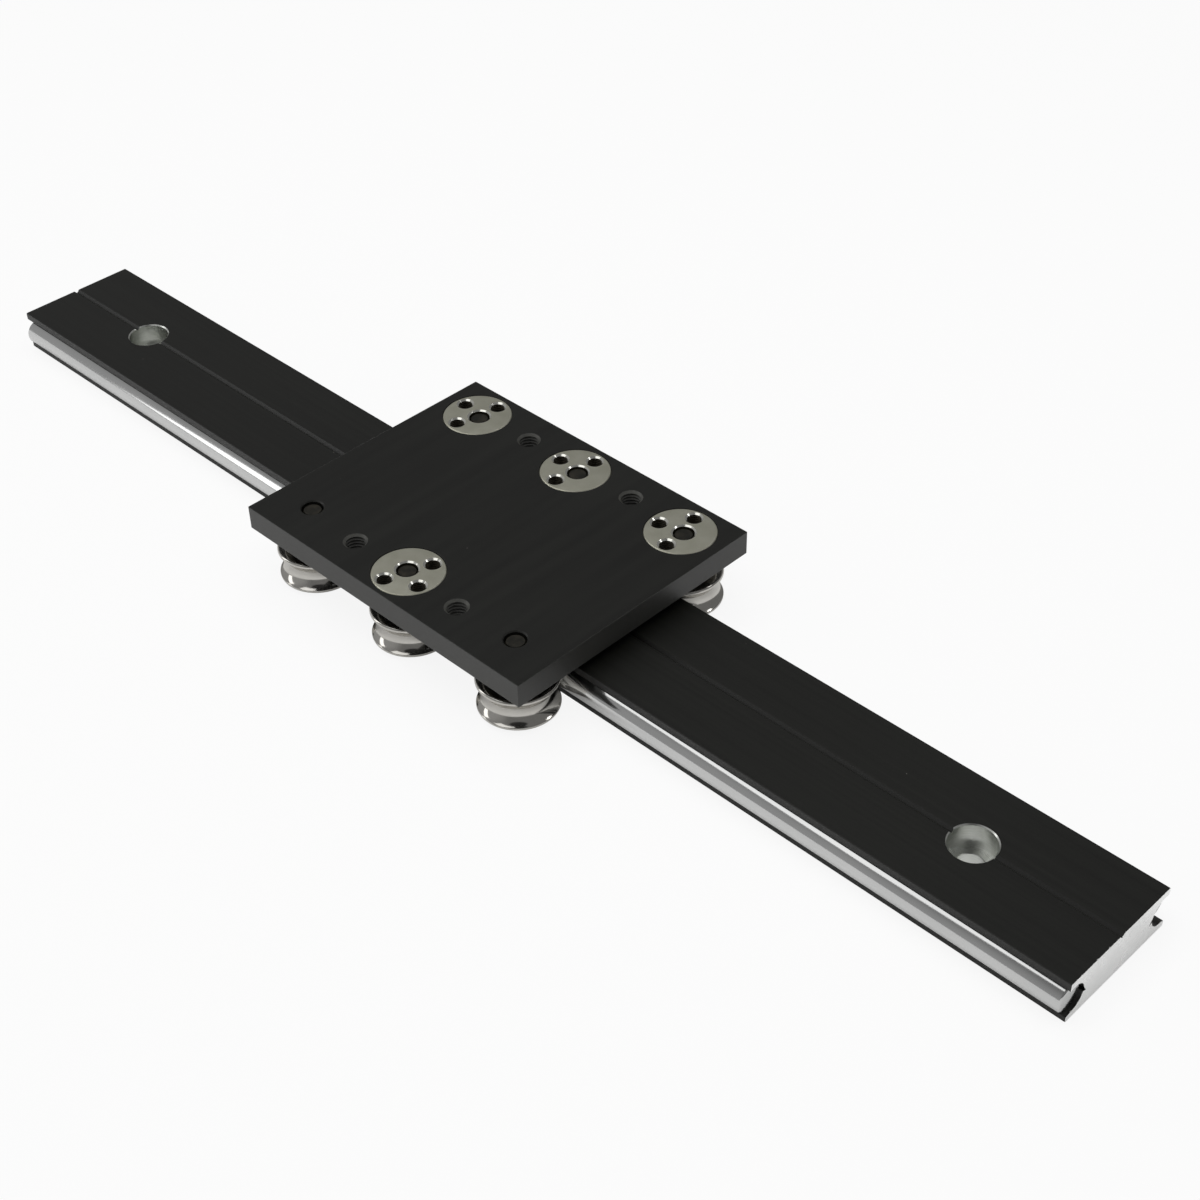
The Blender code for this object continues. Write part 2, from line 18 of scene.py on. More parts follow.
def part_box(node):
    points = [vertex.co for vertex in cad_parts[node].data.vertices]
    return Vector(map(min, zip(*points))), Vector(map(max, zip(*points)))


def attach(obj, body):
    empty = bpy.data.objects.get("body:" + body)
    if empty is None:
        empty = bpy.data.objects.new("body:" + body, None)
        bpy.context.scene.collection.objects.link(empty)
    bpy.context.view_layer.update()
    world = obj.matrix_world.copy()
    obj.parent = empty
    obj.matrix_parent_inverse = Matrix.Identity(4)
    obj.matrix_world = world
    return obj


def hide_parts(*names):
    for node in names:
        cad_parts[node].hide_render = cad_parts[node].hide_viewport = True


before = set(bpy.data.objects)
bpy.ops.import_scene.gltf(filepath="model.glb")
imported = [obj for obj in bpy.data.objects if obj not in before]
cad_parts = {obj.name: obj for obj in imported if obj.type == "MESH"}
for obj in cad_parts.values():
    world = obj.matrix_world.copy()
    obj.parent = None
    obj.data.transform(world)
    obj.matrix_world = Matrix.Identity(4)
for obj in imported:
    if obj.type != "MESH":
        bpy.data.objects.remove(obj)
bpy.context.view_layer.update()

# %% [markdown]
# The camera stands where the photographer stood: to the right and in front of the guide, looking
# down at it by about forty degrees. A long lens keeps the rail's two sides nearly parallel. The
# picture is square, and the camera was held a little tilted, so we roll it round its own axis.

# %% Camera
CAMERA_PLACE = Vector((0.4100, -0.3543, 0.4365))
CAMERA_LOOK = Vector((-0.5500, 0.5420, -0.6354))
CAMERA_ROLL = math.radians(-1.37)
CAMERA_LENS = 60.35
CAMERA_SENSOR = 36.0

camera_data = bpy.data.cameras.new("camera")
camera_data.sensor_width = CAMERA_SENSOR
camera_data.lens = CAMERA_LENS
camera = bpy.data.objects.new("camera", camera_data)
bpy.context.scene.collection.objects.link(camera)
camera.location = CAMERA_PLACE
camera.rotation_mode = "QUATERNION"
level_view = CAMERA_LOOK.to_track_quat("-Z", "Y")
camera.rotation_quaternion = level_view @ Quaternion((0.0, 0.0, 1.0), CAMERA_ROLL)
bpy.context.scene.camera = camera
bpy.context.scene.view_settings.view_transform = "Standard"
print("camera right:", camera.rotation_quaternion @ Vector((1.0, 0.0, 0.0)))

# %% [markdown]
# Shader sums are easier to read as Python sums than as a chain of nodes. One small class wraps a
# socket, so that `mask * 0.3 + 0.5` adds two Math nodes. A finish holds one material, and its
# `node` method adds any other kind of node: settings first, then the values or links of its inputs.

# %% Socket sums and the finish builder
class Wire:
    """A value that flows between nodes, and can be used in sums."""

    def __init__(self, socket):
        self.socket = socket

    def sum_node(self, operation, first, second):
        tree = self.socket.id_data
        node = tree.nodes.new("ShaderNodeMath")
        node.operation = operation
        for place, value in enumerate((first, second)):
            plug_in(tree, node.inputs[place], value)
        return Wire(node.outputs[0])

    def __add__(self, other):
        return self.sum_node("ADD", self, other)

    def __radd__(self, other):
        return self.sum_node("ADD", other, self)

    def __rsub__(self, other):
        return self.sum_node("SUBTRACT", other, self)

    def __mul__(self, other):
        return self.sum_node("MULTIPLY", self, other)

    def above(self, limit):
        return self.sum_node("GREATER_THAN", self, limit)


def plug_in(tree, socket, value):
    """Links a wire to a socket, or sets the socket to a plain value."""
    if isinstance(value, Wire):
        tree.links.new(value.socket, socket)
    else:
        socket.default_value = value


class Finish:
    """A material under construction, which starts as a bare Principled BSDF."""

    def __init__(self, name, **shader_values):
        self.material = bpy.data.materials.new(name)
        self.material.use_nodes = True
        self.tree = self.material.node_tree
        self.shader = self.tree.nodes["Principled BSDF"]
        self.set(**shader_values)

    def node(self, kind, settings=None, output=0, **inputs):
        """Adds a node. Input names are written with _ for a space, or as in_0, in_1 by number."""
        node = self.tree.nodes.new(kind)
        for setting, value in (settings or {}).items():
            setattr(node, setting, value)
        for name, value in inputs.items():
            key = int(name[3:]) if name.startswith("in_") else name.replace("_", " ")
            plug_in(self.tree, node.inputs[key], value)
        return Wire(node.outputs[output])

    def ramp(self, factor, *stops):
        """A colour ramp with stops given as (position, brightness)."""
        node = self.tree.nodes.new("ShaderNodeValToRGB")
        points = node.color_ramp.elements
        while len(points) < len(stops):
            points.new(0.5)
        for point, (position, level) in zip(points, stops):
            point.position = position
            point.color = (level, level, level, 1.0)
        plug_in(self.tree, node.inputs["Fac"], factor)
        return Wire(node.outputs["Color"])

    def blend(self, factor, first, second):
        """One colour turning into another."""
        return self.node("ShaderNodeMix", {"data_type": "RGBA"}, 2, in_0=factor, in_6=first, in_7=second)

    def place(self, scale=(1.0, 1.0, 1.0), centre=(0.0, 0.0, 0.0)):
        """Object coordinates, moved to a centre and stretched."""
        coordinates = self.node("ShaderNodeTexCoord", output=3)
        moved = self.node("ShaderNodeVectorMath", {"operation": "SUBTRACT"}, in_0=coordinates, in_1=centre)
        return self.node("ShaderNodeMapping", Vector=moved, Scale=scale)

    def noise(self, scale, detail=2.0, roughness=0.5):
        """Soft noise with its own scale along X, Y and Z, in cycles per metre."""
        where = self.place(scale)
        return self.node("ShaderNodeTexNoise", Vector=where, Scale=1.0, Detail=detail, Roughness=roughness)

    def bump(self, height, depth, base=None):
        """A Bump node whose height is given in metres."""
        inputs = {"Height": height, "Distance": depth, "Strength": 1.0}
        if base is not None:
            inputs["Normal"] = base
        return self.node("ShaderNodeBump", **inputs)

    def set(self, **shader_values):
        for name, value in shader_values.items():
            plug_in(self.tree, self.shader.inputs[name.replace("_", " ")], value)


def seen(red, green, blue):
    """A colour as the eye reads it on the photograph, from 0 to 255, turned into light."""
    def light(level):
        share = level / 255.0
        if share <= 0.04045:
            return share / 12.92
        return ((share + 0.055) / 1.055) ** 2.4
    return (light(red), light(green), light(blue), 1.0)


print("shader helpers ready")

# %% [markdown]
# The floor is a plain white table. It has to look white without pouring light on the guide, so for
# rays from the camera it is mostly an even glow, and for reflections it glows a little. The rest of
# it is a lit surface, which keeps the shadow. For all other rays it is plain white paint.
#
# Around it is a dim room that is brighter on the left. The black plate mirrors its far side, and
# the steel mirrors its near side, with the dark shape of the photographer in it. A wide soft box
# overhead gives most of the light, and stays out of the reflections. A panel high on the left draws
# the white line along the near half of the shaft. A tall strip low on the left and a small box on
# the right leave a streak on both sides of each roller.

# %% Floor, room and lamps
FLOOR_RADIUS = 12.0
FLOOR_DROP = 0.0001
FLOOR_GLOW_SEEN = 0.90
FLOOR_GLOW_MIRRORED = 0.20
PAPER_WHITE = 0.99
ROOM_LEVEL = 0.20
ROOM_LEFT = 0.38
LEFT = Vector((-0.73, -0.68, 0.0))
DOWN = Vector((0.0, 0.0, -1.0))
PHOTOGRAPHER = Vector((0.384, -0.426, 0.819))
PHOTOGRAPHER_SHADE = 0.85

# Each part of the room fades in between two cosines of the angle from its middle.
LEFT_SPAN = (0.35, 0.85)
TABLE_SPAN = (-0.05, 0.0)
PHOTOGRAPHER_SPAN = (0.94, 0.97)

LAMP_DISTANCE = 1.6
LAMPS = {
    "box_top": {
        "azimuth": 0.0, "lift": 90.0, "width": 1.8, "height": 1.8, "power": 20.5, "mirrored": False},
    "panel_left": {
        "azimuth": -133.0, "lift": 70.0, "width": 1.1, "height": 0.8, "power": 3.0, "mirrored": True},
    "strip_left": {
        "azimuth": -143.0, "lift": 23.0, "width": 0.34, "height": 1.05, "power": 1.9, "mirrored": True},
    "box_right": {
        "azimuth": 53.0, "lift": 51.0, "width": 0.21, "height": 0.21, "power": 0.6, "mirrored": True},
}


def paint_floor():
    finish = Finish("white_table", Base_Color=(0.86, 0.86, 0.855, 1.0), Roughness=0.9)
    rays = finish.node("ShaderNodeLightPath")
    outputs = rays.socket.node.outputs
    glow = finish.node("ShaderNodeEmission", Color=(PAPER_WHITE, PAPER_WHITE, PAPER_WHITE, 1.0), Strength=1.0)
    seen_share = (Wire(outputs["Is Camera Ray"]) + Wire(outputs["Is Transmission Ray"])) * FLOOR_GLOW_SEEN
    share = seen_share + Wire(outputs["Is Glossy Ray"]) * FLOOR_GLOW_MIRRORED
    mixed = finish.node("ShaderNodeMixShader", in_0=share, in_2=glow)
    finish.tree.links.new(finish.shader.outputs[0], mixed.socket.node.inputs[1])
    output = finish.tree.nodes["Material Output"]
    finish.tree.links.new(mixed.socket, output.inputs["Surface"])
    return finish.material


def make_floor():
    sheet = bmesh.new()
    bmesh.ops.create_circle(sheet, cap_ends=True, radius=FLOOR_RADIUS, segments=64)
    bmesh.ops.translate(sheet, verts=sheet.verts, vec=(0.0, 0.0, -FLOOR_DROP))
    mesh = bpy.data.meshes.new("table")
    sheet.to_mesh(mesh)
    sheet.free()
    mesh.materials.append(paint_floor())
    table = bpy.data.objects.new("table", mesh)
    bpy.context.scene.collection.objects.link(table)


def make_room():
    world = bpy.data.worlds.new("room")
    world.use_nodes = True
    bpy.context.scene.world = world
    tree = world.node_tree
    direction = tree.nodes.new("ShaderNodeTexCoord").outputs["Generated"]

    def facing(side, start, end):
        """Grows from 0 to 1 as the direction turns to a side of the room."""
        nearness = tree.nodes.new("ShaderNodeVectorMath")
        nearness.operation = "DOT_PRODUCT"
        nearness.inputs[1].default_value = side
        tree.links.new(direction, nearness.inputs[0])
        step = tree.nodes.new("ShaderNodeMapRange")
        step.interpolation_type = "SMOOTHSTEP"
        step.inputs["From Min"].default_value = start
        step.inputs["From Max"].default_value = end
        tree.links.new(nearness.outputs["Value"], step.inputs["Value"])
        return Wire(step.outputs["Result"])

    walls = facing(LEFT, *LEFT_SPAN) * (ROOM_LEFT - ROOM_LEVEL) + ROOM_LEVEL
    table_edge = facing(DOWN, *TABLE_SPAN)
    walls = walls * (1.0 - facing(PHOTOGRAPHER, *PHOTOGRAPHER_SPAN) * PHOTOGRAPHER_SHADE)
    light = walls + table_edge * (1.0 - walls)
    seen_directly = Wire(tree.nodes.new("ShaderNodeLightPath").outputs["Is Camera Ray"])
    light = light + seen_directly * (PAPER_WHITE - light)
    tree.links.new(light.socket, tree.nodes["Background"].inputs["Color"])


def make_lamp(name, azimuth, lift, width, height, power, mirrored):
    data = bpy.data.lights.new(name, "AREA")
    data.shape = "RECTANGLE"
    data.size = width
    data.size_y = height
    data.energy = power
    lamp = bpy.data.objects.new(name, data)
    bpy.context.scene.collection.objects.link(lamp)
    around = math.radians(azimuth)
    up = math.radians(lift)
    level = math.cos(up)
    direction = Vector((level * math.cos(around), level * math.sin(around), math.sin(up)))
    lamp.location = direction * LAMP_DISTANCE
    lamp.rotation_mode = "QUATERNION"
    lamp.rotation_quaternion = (-direction).to_track_quat("-Z", "Y")
    lamp.visible_camera = False
    lamp.visible_glossy = mirrored


make_floor()
make_room()
for name, settings in LAMPS.items():
    make_lamp(name, **settings)
print("floor, room and lamps ready")

# %% [markdown]
# The rail and the plate are black anodised aluminium. Anodising is a thin, hard, slightly warm
# black layer. It isn't even: the extruded rail keeps faint streaks along its length, the layer is a
# little duller in patches, and a few dust specks lie on it. All of that stays very weak, or the
# metal would look dirty. The plate's upright sides are painted a greyer black than its top: painted
# sheen, for the light that these faces catch from the table. Along the sawn ends of the rail the
# layer has come off in small bright chips, and the threads in the plate are worn to a mid grey.

# %% Black anodised aluminium
ANODISED_BLACK = seen(12, 12, 10)
ANODISED_WORN = seen(38, 39, 35)
# Painted sheen: the plate's upright sides are a greyer black, for the light they catch from the table.
SIDE_SHEEN_BLACK = seen(44, 44, 42)
SIDE_SHEEN_WORN = seen(66, 66, 63)
THREAD_DARK = seen(52, 52, 49)
THREAD_WORN = seen(104, 104, 99)
DUST = seen(150, 148, 140)
CHIPPED = seen(235, 236, 234)
CHIP_REACH = 0.0022
CHIP_THRESHOLD = 0.56
RAIL_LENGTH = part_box("rail_extrusion")[1].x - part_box("rail_extrusion")[0].x


def anodised_finish(name, streak_scale, black, worn, length=None):
    """With a length, the layer is chipped off in small spots at both ends."""
    finish = Finish(name, Metallic=0.0)
    streaks = finish.noise(streak_scale, detail=3.0)
    patches = finish.noise((9.0, 9.0, 9.0), detail=4.0)
    grain = finish.noise((2600.0, 2600.0, 2600.0), detail=2.0)
    tone = streaks * 0.55 + patches * 0.35 + grain * 0.10
    colour = finish.blend(finish.ramp(tone, (0.30, 0.0), (0.72, 1.0)) * 0.35, black, worn)
    where = finish.place((420.0, 420.0, 420.0))
    cells = finish.node("ShaderNodeTexVoronoi", {"feature": "F1"}, 0, Vector=where, Scale=1.0, Randomness=1.0)
    rarity = finish.node("ShaderNodeTexWhiteNoise", {"noise_dimensions": "3D"}, 0, Vector=finish.node(
        "ShaderNodeTexVoronoi", {"feature": "F1"}, 2, Vector=where, Scale=1.0, Randomness=1.0))
    specks = finish.ramp(cells, (0.04, 1.0), (0.075, 0.0)) * rarity.above(0.988)
    colour = finish.blend(specks * 0.55, colour, DUST)
    rough = 0.36 + patches * 0.08 + streaks * 0.05 + grain * 0.05
    relief = finish.bump(streaks, 0.000004)
    relief = finish.bump(grain, 0.000002, relief)
    if length is not None:
        along = finish.node("ShaderNodeSeparateXYZ", Vector=finish.place())
        from_middle = along.sum_node("ABSOLUTE", along, 0.0)
        spots = finish.noise((900.0, 900.0, 900.0), detail=3.0)
        chips = (from_middle + spots * CHIP_REACH).above(length / 2 + CHIP_REACH * CHIP_THRESHOLD)
        colour = finish.blend(chips, colour, CHIPPED)
        finish.set(Metallic=chips)
    finish.set(Base_Color=colour, Roughness=rough, Normal=relief)
    return finish.material


RAIL_BLACK = anodised_finish(
    "rail_anodised", (6.0, 900.0, 900.0), ANODISED_BLACK, ANODISED_WORN, RAIL_LENGTH)
PLATE_BLACK = anodised_finish("plate_anodised", (260.0, 14.0, 40.0), ANODISED_BLACK, ANODISED_WORN)
# Painted sheen for the plate's sides and the side half of its broken edges.
PLATE_SIDE_SHEEN = anodised_finish("plate_side_painted_sheen", (30.0, 30.0, 1500.0), SIDE_SHEEN_BLACK, SIDE_SHEEN_WORN)
THREAD_BLACK = anodised_finish("thread_anodised", (400.0, 400.0, 400.0), THREAD_DARK, THREAD_WORN)
print("finishes:", RAIL_BLACK.name, PLATE_BLACK.name, PLATE_SIDE_SHEEN.name, THREAD_BLACK.name)

# %% [markdown]
# Where the rail was sawn to length and where its holes were bored, the aluminium is bare and bright.
# A saw leaves nearly straight scratches across the face. A counterbore leaves rings round its axis,
# so that finish needs the axis of each hole, which a Mapping node gives it.

# %% Bare aluminium
BARE_ALUMINIUM = (0.985, 0.985, 0.98, 1.0)
BARE_SHADED = (0.90, 0.905, 0.90, 1.0)


def sawn_finish():
    finish = Finish("sawn_aluminium", Metallic=1.0)
    scratches = finish.noise((1.0, 260.0, 3800.0), detail=4.0, roughness=0.6)
    clouds = finish.noise((150.0, 150.0, 150.0), detail=3.0)
    tone = scratches * 0.6 + clouds * 0.4
    colour = finish.blend(finish.ramp(tone, (0.34, 0.0), (0.60, 1.0)), BARE_SHADED, BARE_ALUMINIUM)
    relief = finish.bump(scratches, 0.00002)
    finish.set(Base_Color=colour, Roughness=0.19 + clouds * 0.14, Normal=relief)
    return finish.material


def rings_round(finish, centre, scale, detail):
    """Noise that changes only with the distance from a vertical axis through the centre."""
    flat = finish.place((1.0, 1.0, 0.0), centre)
    radius = finish.node("ShaderNodeVectorMath", {"operation": "LENGTH"}, 1, in_0=flat)
    settings = {"noise_dimensions": "1D"}
    return finish.node("ShaderNodeTexNoise", settings, W=radius, Scale=scale, Detail=detail)


def bored_finish(name, centre):
    finish = Finish(name, Metallic=1.0)
    rings = rings_round(finish, centre, 5200.0, 2.0)
    walls = finish.noise((300.0, 300.0, 5200.0), detail=2.0)
    lines = rings * 0.5 + walls * 0.5
    contrast = finish.ramp(lines, (0.35, 0.0), (0.62, 1.0))
    colour = finish.blend(contrast, seen(208, 211, 204), seen(238, 239, 236))
    finish.set(Base_Color=colour, Roughness=0.22 + lines * 0.14, Normal=finish.bump(lines, 0.000012))
    return finish.material


SAWN = sawn_finish()
print("finish:", SAWN.name)

# %% [markdown]
# The shafts are hard-chromed and ground between centres. Grinding leaves extremely fine lines
# round the rod, so a light seen along it is drawn out a little, and the mirror stays clean. The
# rollers are polished the same way round their own axes, and their groove is slightly more satin.

# %% Ground and polished steel
def ground_shaft_finish():
    finish = Finish("ground_shaft", Metallic=1.0)
    lines = finish.noise((5200.0, 60.0, 60.0), detail=3.0)
    waves = finish.noise((38.0, 30.0, 30.0), detail=2.0)
    colour = finish.blend(waves, seen(196, 197, 197), seen(210, 210, 209))
    relief = finish.bump(lines, 0.0000009)
    finish.set(Base_Color=colour, Roughness=0.08 + lines * 0.06 + waves * 0.03, Normal=relief)
    return finish.material


def polished_ring_finish():
    finish = Finish("polished_ring", Metallic=1.0)
    lines = finish.noise((90.0, 90.0, 6500.0), detail=3.0)
    smear = finish.noise((170.0, 170.0, 110.0), detail=3.0)
    colour = finish.blend(smear, seen(184, 181, 175), seen(206, 204, 199))
    relief = finish.bump(lines, 0.0000012)
    finish.set(Base_Color=colour, Roughness=0.06 + lines * 0.06 + smear * 0.05, Normal=relief)
    finish.set(Anisotropic=0.6, Anisotropic_Rotation=0.25)
    return finish.material


def turned_steel_finish():
    finish = Finish("turned_steel", Metallic=1.0)
    lines = finish.noise((140.0, 140.0, 5200.0), detail=3.0)
    colour = finish.blend(lines, seen(168, 166, 160), seen(205, 203, 198))
    finish.set(Base_Color=colour, Roughness=0.24 + lines * 0.14, Normal=finish.bump(lines, 0.000006))
    return finish.material


SHAFT_STEEL = ground_shaft_finish()
RING_STEEL = polished_ring_finish()
TURNED_STEEL = turned_steel_finish()
print("finishes:", SHAFT_STEEL.name, RING_STEEL.name, TURNED_STEEL.name)

# %% [markdown]
# The eccentric bushings are satin nickel on turned steel: warm light grey with rings so fine that
# they only soften the shine. Down in their holes the walls are painted a dark brown: painted shade,
# for the little light that reaches so deep. The axle screws are blackened steel. The shields of the
# bearings are moulded black rubber, and the cages nylon.

# %% Nickel, blackened steel, rubber and nylon
def nickel_finish(name, centre):
    finish = Finish(name, Metallic=1.0)
    rings = rings_round(finish, centre, 7600.0, 3.0)
    clouds = finish.noise((210.0, 210.0, 210.0), detail=4.0)
    tone = finish.ramp(rings * 0.4 + clouds * 0.6, (0.33, 0.0), (0.66, 1.0))
    colour = finish.blend(tone, seen(226, 225, 206), seen(240, 239, 223))
    relief = finish.bump(rings, 0.000004)
    finish.set(Base_Color=colour, Roughness=0.40 + clouds * 0.10 + rings * 0.06, Normal=relief)
    return finish.material


def countersunk_finish():
    finish = Finish("countersunk_steel", Metallic=1.0)
    clouds = finish.noise((600.0, 600.0, 600.0), detail=2.0)
    colour = finish.blend(clouds, seen(222, 221, 212), seen(238, 238, 232))
    finish.set(Base_Color=colour, Roughness=0.12 + clouds * 0.1)
    return finish.material


def blackened_finish():
    finish = Finish("blackened_steel", Metallic=0.3)
    clouds = finish.noise((420.0, 420.0, 420.0), detail=4.0)
    lines = finish.noise((700.0, 700.0, 5200.0), detail=2.0)
    colour = finish.blend(finish.ramp(clouds, (0.36, 0.0), (0.68, 1.0)), seen(24, 24, 20), seen(46, 43, 36))
    finish.set(Base_Color=colour, Roughness=0.30 + clouds * 0.24, Normal=finish.bump(lines, 0.000008))
    return finish.material


# Painted shade: a dark brown for the walls deep in a hole, where little light gets in.
def bore_shade_finish():
    finish = Finish("bore_painted_shade", Metallic=0.6)
    clouds = finish.noise((520.0, 520.0, 520.0), detail=3.0)
    lines = finish.noise((600.0, 600.0, 5200.0), detail=2.0)
    colour = finish.blend(clouds, seen(26, 24, 17), seen(66, 61, 48))
    finish.set(Base_Color=colour, Roughness=0.36 + clouds * 0.2, Normal=finish.bump(lines, 0.00001))
    return finish.material


def rubber_finish():
    finish = Finish("shield_rubber", Metallic=0.0)
    grain = finish.noise((3200.0, 3200.0, 3200.0), detail=2.0)
    clouds = finish.noise((240.0, 240.0, 240.0), detail=3.0)
    colour = finish.blend(clouds, seen(24, 24, 25), seen(38, 38, 39))
    finish.set(Base_Color=colour, Roughness=0.50 + clouds * 0.18, Normal=finish.bump(grain, 0.000012))
    return finish.material


def cage_finish():
    finish = Finish("cage_nylon", Metallic=0.0)
    grain = finish.noise((2200.0, 2200.0, 2200.0), detail=2.0)
    clouds = finish.noise((260.0, 260.0, 260.0), detail=3.0)
    colour = finish.blend(clouds, seen(196, 178, 128), seen(216, 200, 152))
    finish.set(Base_Color=colour, Roughness=0.42 + clouds * 0.14, Normal=finish.bump(grain, 0.00001))
    return finish.material


COUNTERSUNK = countersunk_finish()
BLACKENED = blackened_finish()
# Painted shade for the walls deep in the bushings' holes.
BORE_SHADE = bore_shade_finish()
RUBBER = rubber_finish()
NYLON = cage_finish()
print("finishes:", COUNTERSUNK.name, BLACKENED.name, BORE_SHADE.name, RUBBER.name, NYLON.name)

# %% [markdown]
# Nearly every piece of the guide was turned on a lathe, so the main modelling tool is a half
# section that is spun once round its axis. Sharp corners don't exist on real metal: after the spin,
# the edges that turn by more than a little get a narrow bevel that catches the light.
#
# Holes are cut with a Boolean, whose cutter is a turned shape as well. The cutter's own material
# goes over to the faces that it leaves, so a bored hole can be bright in a black part.

# %% Modelling helpers
SPIN_STEPS = 96
SAME_POINT = 0.0000002
SHARP_ANGLE = math.radians(28.0)
SHADING_ANGLE = math.radians(14.0)
THREAD_FLAT = 0.14


def turned(section, closed=False, steps=SPIN_STEPS):
    """Spins a half section of (radius, height) points round Z. Open sections run from axis to axis."""
    shape = bmesh.new()
    points = [shape.verts.new((radius, 0.0, height)) for radius, height in section]
    edges = [shape.edges.new(pair) for pair in zip(points, points[1:])]
    if closed:
        edges.append(shape.edges.new((points[-1], points[0])))
    bmesh.ops.spin(
        shape, geom=points + edges, cent=(0.0, 0.0, 0.0), axis=(0.0, 0.0, 1.0), dvec=(0.0, 0.0, 0.0),
        angle=math.tau, steps=steps, use_merge=True, use_duplicate=False)
    bmesh.ops.remove_doubles(shape, verts=shape.verts, dist=SAME_POINT)
    bmesh.ops.recalc_face_normals(shape, faces=shape.faces)
    return shape


def soften(shape, width, segments=2, wanted=None):
    """Bevels the sharp edges, or those that a test picks from them."""
    edges = [edge for edge in shape.edges if edge.is_manifold and edge.calc_face_angle() > SHARP_ANGLE]
    if wanted is not None:
        edges = [edge for edge in edges if wanted(edge)]
    bmesh.ops.bevel(
        shape, geom=edges, offset=width, offset_type="OFFSET", segments=segments, profile=0.5,
        affect="EDGES", clamp_overlap=True, material=-1)


def as_mesh(name, shape, *finishes):
    """Turns a bmesh into a mesh with its finishes, and frees the bmesh."""
    mesh = bpy.data.meshes.new(name)
    shape.to_mesh(mesh)
    shape.free()
    for finish in finishes:
        mesh.materials.append(finish)
    return mesh


def shade(mesh):
    """Shades round faces smooth and leaves the corners crisp."""
    mesh.shade_smooth()
    mesh.set_sharp_from_angle(angle=SHADING_ANGLE)


def carve(mesh, cutters):
    """Cuts every cutter mesh out of a mesh, with an exact Boolean for each."""
    holder = bpy.data.objects.new("holder", mesh)
    bpy.context.scene.collection.objects.link(holder)
    tools = []
    for cutter in cutters:
        tool = bpy.data.objects.new("tool", cutter)
        bpy.context.scene.collection.objects.link(tool)
        tools.append(tool)
        boolean = holder.modifiers.new("cut", "BOOLEAN")
        boolean.operation = "DIFFERENCE"
        boolean.solver = "EXACT"
        boolean.material_mode = "TRANSFER"
        boolean.object = tool
    graph = bpy.context.evaluated_depsgraph_get()
    carved = bpy.data.meshes.new_from_object(holder.evaluated_get(graph))
    carved.name = mesh.name + "_carved"
    for spent in [holder, *tools]:
        bpy.data.objects.remove(spent)
    return carved


def moved(mesh, place):
    """A copy of a mesh, carried to its place."""
    copy = mesh.copy()
    copy.transform(Matrix.Translation(place))
    return copy


def add_piece(name, mesh, body, slot, *nodes):
    """Makes a finished mesh a piece of the guide, in place of the solids that it stands for."""
    shade(mesh)
    piece = bpy.data.objects.new(name, mesh)
    bpy.context.scene.collection.objects.link(piece)
    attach(piece, body)
    if nodes:
        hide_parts(*nodes)
    return piece


def arc(centre_x, centre_y, radius, start, end, steps):
    """Points on an arc, both ends included, with angles in degrees."""
    angles = [math.radians(start + (end - start) * i / steps) for i in range(steps + 1)]
    return [(centre_x + radius * math.cos(a), centre_y + radius * math.sin(a)) for a in angles]


def middle_of(node):
    """The middle of a solid's box."""
    low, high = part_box(node)
    return (low + high) / 2


def axis_of(node):
    """Where the upright axis of a round solid meets the ground."""
    middle = middle_of(node)
    return Vector((middle.x, middle.y, 0.0))


def size_of(node):
    low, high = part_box(node)
    return high - low


def thread(radius, depth, pitch, top, bottom):
    """The zigzag of a screw thread down a wall, from top to bottom."""
    turns = int((top - bottom) / pitch)
    flat = pitch * THREAD_FLAT
    points = []
    for i in range(turns):
        height = top - i * pitch
        points += [
            (radius, height),
            (radius, height - flat),
            (radius + depth, height - pitch * 0.5),
            (radius + depth, height - pitch * 0.5 - flat * 0.5),
        ]
    points.append((radius, top - turns * pitch))
    points.append((radius, bottom))
    return points


print("modelling helpers ready")

# %% [markdown]
# The rail is an aluminium extrusion. Its section has a round groove in each side, with a hooked
# upper lip, a flat lower lip that tapers to its tip, and a small notch behind the shaft that lets
# the lip spring when the shaft is pressed in. A V runs along the middle of its top, which is where
# the drill starts. We draw half of the section, mirror it in code, fill it as one face and extrude
# that face along the rail. Then the corners are rounded, and three counterbored holes are cut.

# %% Rail
RAIL = size_of("rail_extrusion")
SHAFT_RADIUS = size_of("front_shaft").z / 2
SHAFT_MIDDLE = middle_of("back_shaft")
GROOVE_GAP = 0.00025
GROOVE_RADIUS = SHAFT_RADIUS + GROOVE_GAP
NOTCH_START = 168.0
NOTCH_END = 190.0
NOTCH_TIP_TURN = 14.0
NOTCH_DEPTH = 0.0015
LOWER_LIP_TIP = 0.0020
CENTRE_V_WIDTH = 0.0022
CENTRE_V_DEPTH = 0.0011
LIP_ROUND = 0.00025
HOLE_PITCH = 0.200
HOLE_BORE = 0.009
HOLE_EDGE = 0.0002
COUNTERBORE = 0.015
COUNTERBORE_DEPTH = 0.009
COUNTERBORE_CHAMFER = 0.0004
OVERRUN = 0.001


def rail_outline():
    """Right half of the section as (Y, Z) points, from the V on top down to the bottom corner."""
    side = RAIL.y / 2
    groove_y = SHAFT_MIDDLE.y
    groove_z = SHAFT_MIDDLE.z
    lip = math.degrees(math.acos((side - groove_y) / GROOVE_RADIUS))
    tip_angle = math.radians((NOTCH_START + NOTCH_END) / 2 + NOTCH_TIP_TURN)
    reach = GROOVE_RADIUS + NOTCH_DEPTH
    tip = (groove_y + reach * math.cos(tip_angle), groove_z + reach * math.sin(tip_angle))
    return [
        (0.0, RAIL.z - CENTRE_V_DEPTH),
        (CENTRE_V_WIDTH / 2, RAIL.z),
        (side, RAIL.z),
        *arc(groove_y, groove_z, GROOVE_RADIUS, lip, NOTCH_START, 22),
        tip,
        *arc(groove_y, groove_z, GROOVE_RADIUS, NOTCH_END, 270.0, 18),
        (side, LOWER_LIP_TIP),
        (side, 0.0),
    ]


